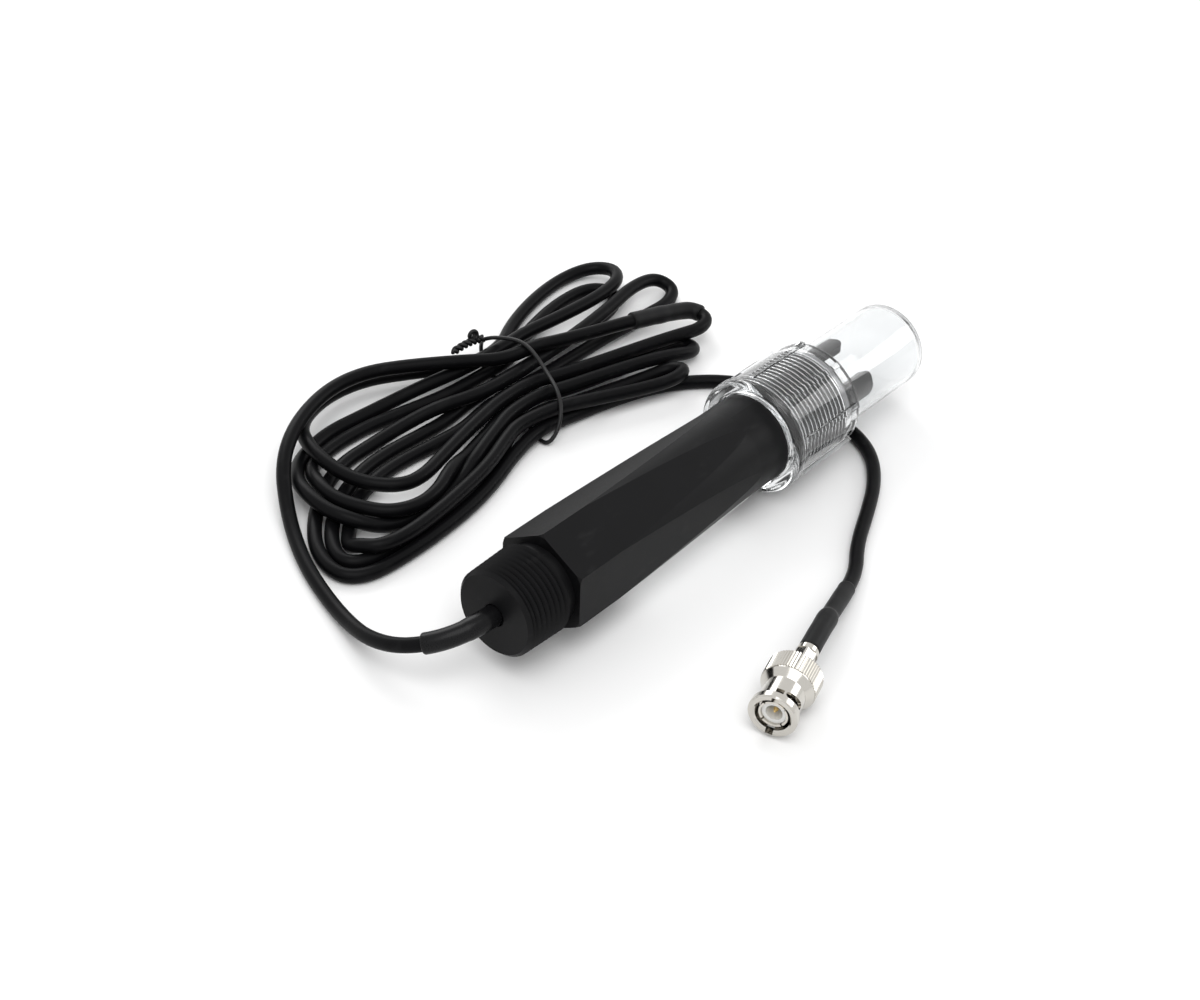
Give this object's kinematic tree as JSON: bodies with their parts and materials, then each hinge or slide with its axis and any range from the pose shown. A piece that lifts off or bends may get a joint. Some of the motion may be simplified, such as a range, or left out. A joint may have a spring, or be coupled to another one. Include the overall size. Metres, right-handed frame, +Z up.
{
  "type": "ph electrode",
  "caption": "Combination pH electrode: threaded body with a hexagon and label, guarded glass bulb in a clear screw cap, and a coiled cable with a bayonet plug.",
  "frame": {"origin": "on the floor, under the middle of the electrode with its cap on; the free cable and its plug are left out of the middle", "axes": "+X along the electrode, from its cable end to its cap; +Z up from the floor; +Y to the side where the hank lies"},
  "size_m": [0.2079, 0.1891, 0.0362],
  "materials": {
    "body_plastic": "moulded black, satin",
    "label_film": "white film, satin",
    "thin_glass": "clear, polished",
    "porous_plastic": "porous, matt",
    "seal_rubber": "matt",
    "stopper_rubber": "matt",
    "silver_wire": "drawn silver wire",
    "potting_resin": "cast resin",
    "clear_plastic": "clear moulded plastic, polished",
    "cap_rubber": "matt grey",
    "cable_jacket": "soft black jacket, slight gloss",
    "boot_plastic": "black, glossy",
    "sleeve_plastic": "shrunk black sleeve, satin",
    "tie_plastic": "plastic over wire, satin",
    "nickel_plate": "nickel plated, polished",
    "contact_plate": "plated spring contact",
    "white_insulator": "white, satin",
    "gold_plate": "gold plated",
    "washer_steel": "plain steel"
  },
  "bodies": {
    "electrode": {"body_shell": "body_plastic", "body_label": "label_film", "glass_stem": "thin_glass", "reference_junction": "porous_plastic", "front_seal": "seal_rubber", "rear_stopper": "stopper_rubber", "inner_electrode": "silver_wire", "reference_electrode": "silver_wire", "cable_potting": "potting_resin", "lead_cable": "cable_jacket", "cable_boot": "boot_plastic", "tail_cable": "cable_jacket", "tail_sleeve": "sleeve_plastic", "lead_sleeve": "sleeve_plastic", "cable_hank": "cable_jacket", "twist_tie": "tie_plastic", "plug_body": "contact_plate", "plug_insulator": "white_insulator", "centre_pin": "gold_plate", "plug_seal": "seal_rubber", "spring_washer": "washer_steel", "retaining_clip": "washer_steel", "crimp_ferrule": "nickel_plate"},
    "cap_slider": {"cap_ring": "cap_rubber"},
    "cap": {"storage_cap": "clear_plastic"},
    "nut_washer": {"thrust_washer": "washer_steel"},
    "nut": {"coupling_nut": "nickel_plate"}
  },
  "joints": [
    {"name": "cap_draw", "type": "slide", "parent": "electrode", "child": "cap_slider", "axis": [1, 0, 0], "range_m": [0, 0.00907]},
    {"name": "cap_turn", "type": "hinge", "parent": "cap_slider", "child": "cap", "pos_m": [0, 0, 0.0181], "axis": [1, 0, 0], "range_deg": [0, 1800]},
    {"name": "nut_push", "type": "slide", "parent": "electrode", "child": "nut_washer", "axis": [-0.9588, -0.284, 0], "range_m": [0, 0.001], "stiffness_N_per_m": 2000},
    {"name": "nut_turn", "type": "hinge", "parent": "nut_washer", "child": "nut", "pos_m": [-0.06, -0.0692, 0.00782], "axis": [0.9588, 0.284, 0], "continuous": true}
  ],
  "couplings": [
    {"joint": "cap_draw", "follows": "cap_turn", "m_per_rad": 0.00028871}
  ]
}
